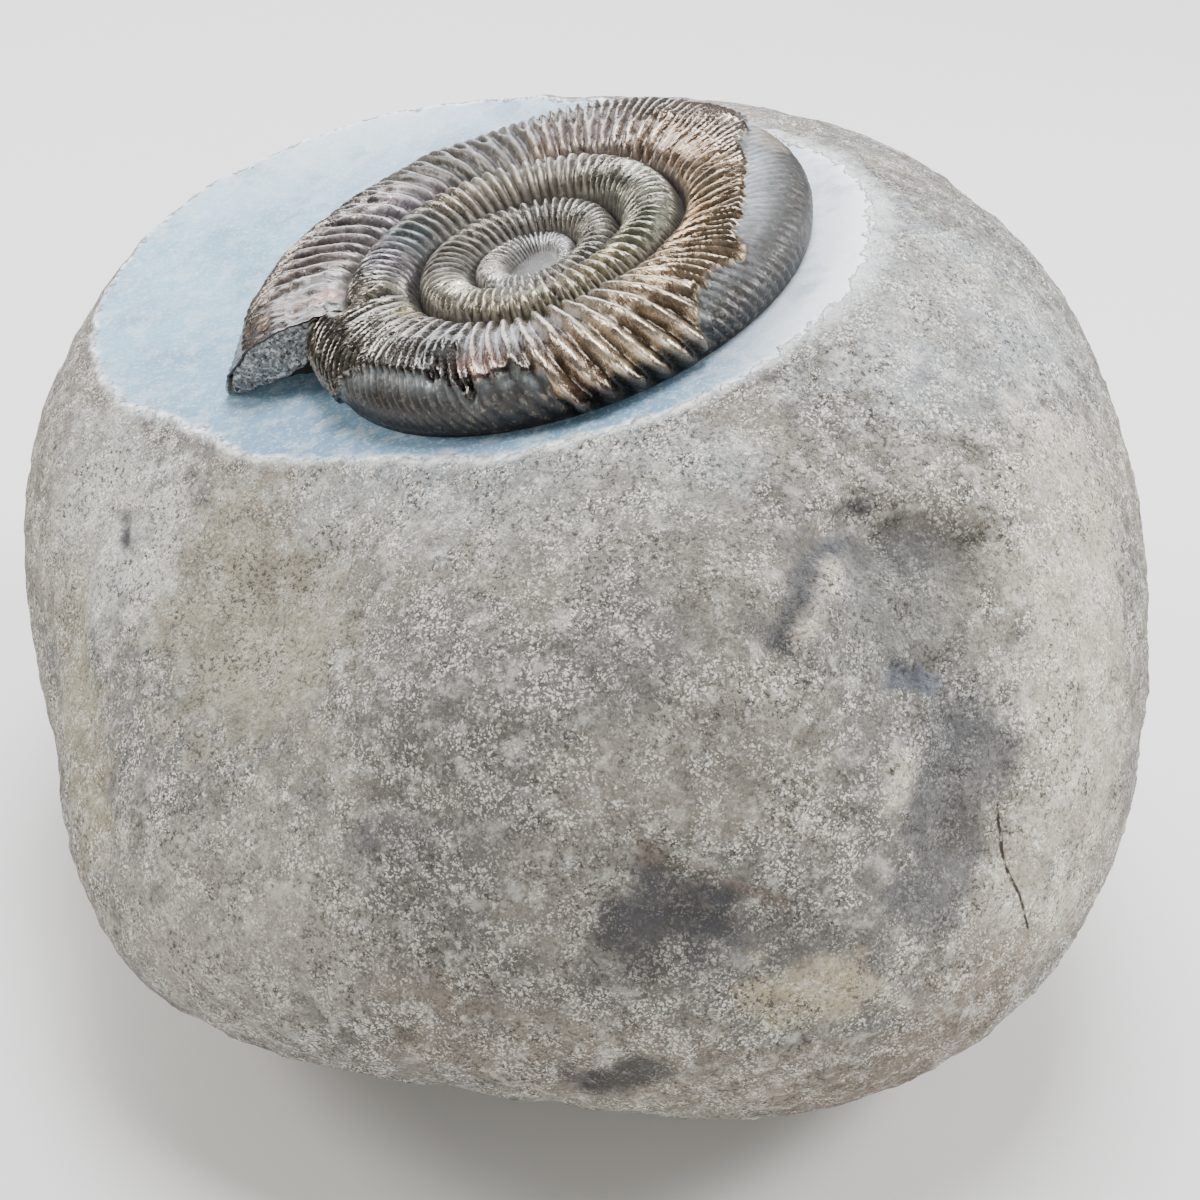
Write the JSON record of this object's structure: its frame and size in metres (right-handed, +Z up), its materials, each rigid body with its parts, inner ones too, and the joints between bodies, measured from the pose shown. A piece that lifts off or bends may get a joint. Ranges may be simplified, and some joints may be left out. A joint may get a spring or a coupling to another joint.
{
  "type": "ammonite fossil in a stone nodule",
  "caption": "Ribbed, flat-coiled ammonite shell lying in the prepared dish of a rounded limestone nodule that rests on its own flat spot.",
  "frame": {"origin": "middle of the resting flat under the nodule", "axes": "+Z is up, +X is to the viewer's right and +Y is away from the viewer, who sees the shell from the front and above. The shell's face leans to the left (-X)."},
  "size_m": [0.1078, 0.1207, 0.0781],
  "materials": {
    "limestone": "matte, speckled grey limestone",
    "fossil_shell": "polished dark bronze-brown calcite and pyrite"
  },
  "bodies": {
    "root": {"limestone_nodule": "limestone", "ammonite_shell": "fossil_shell"}
  },
  "joints": []
}
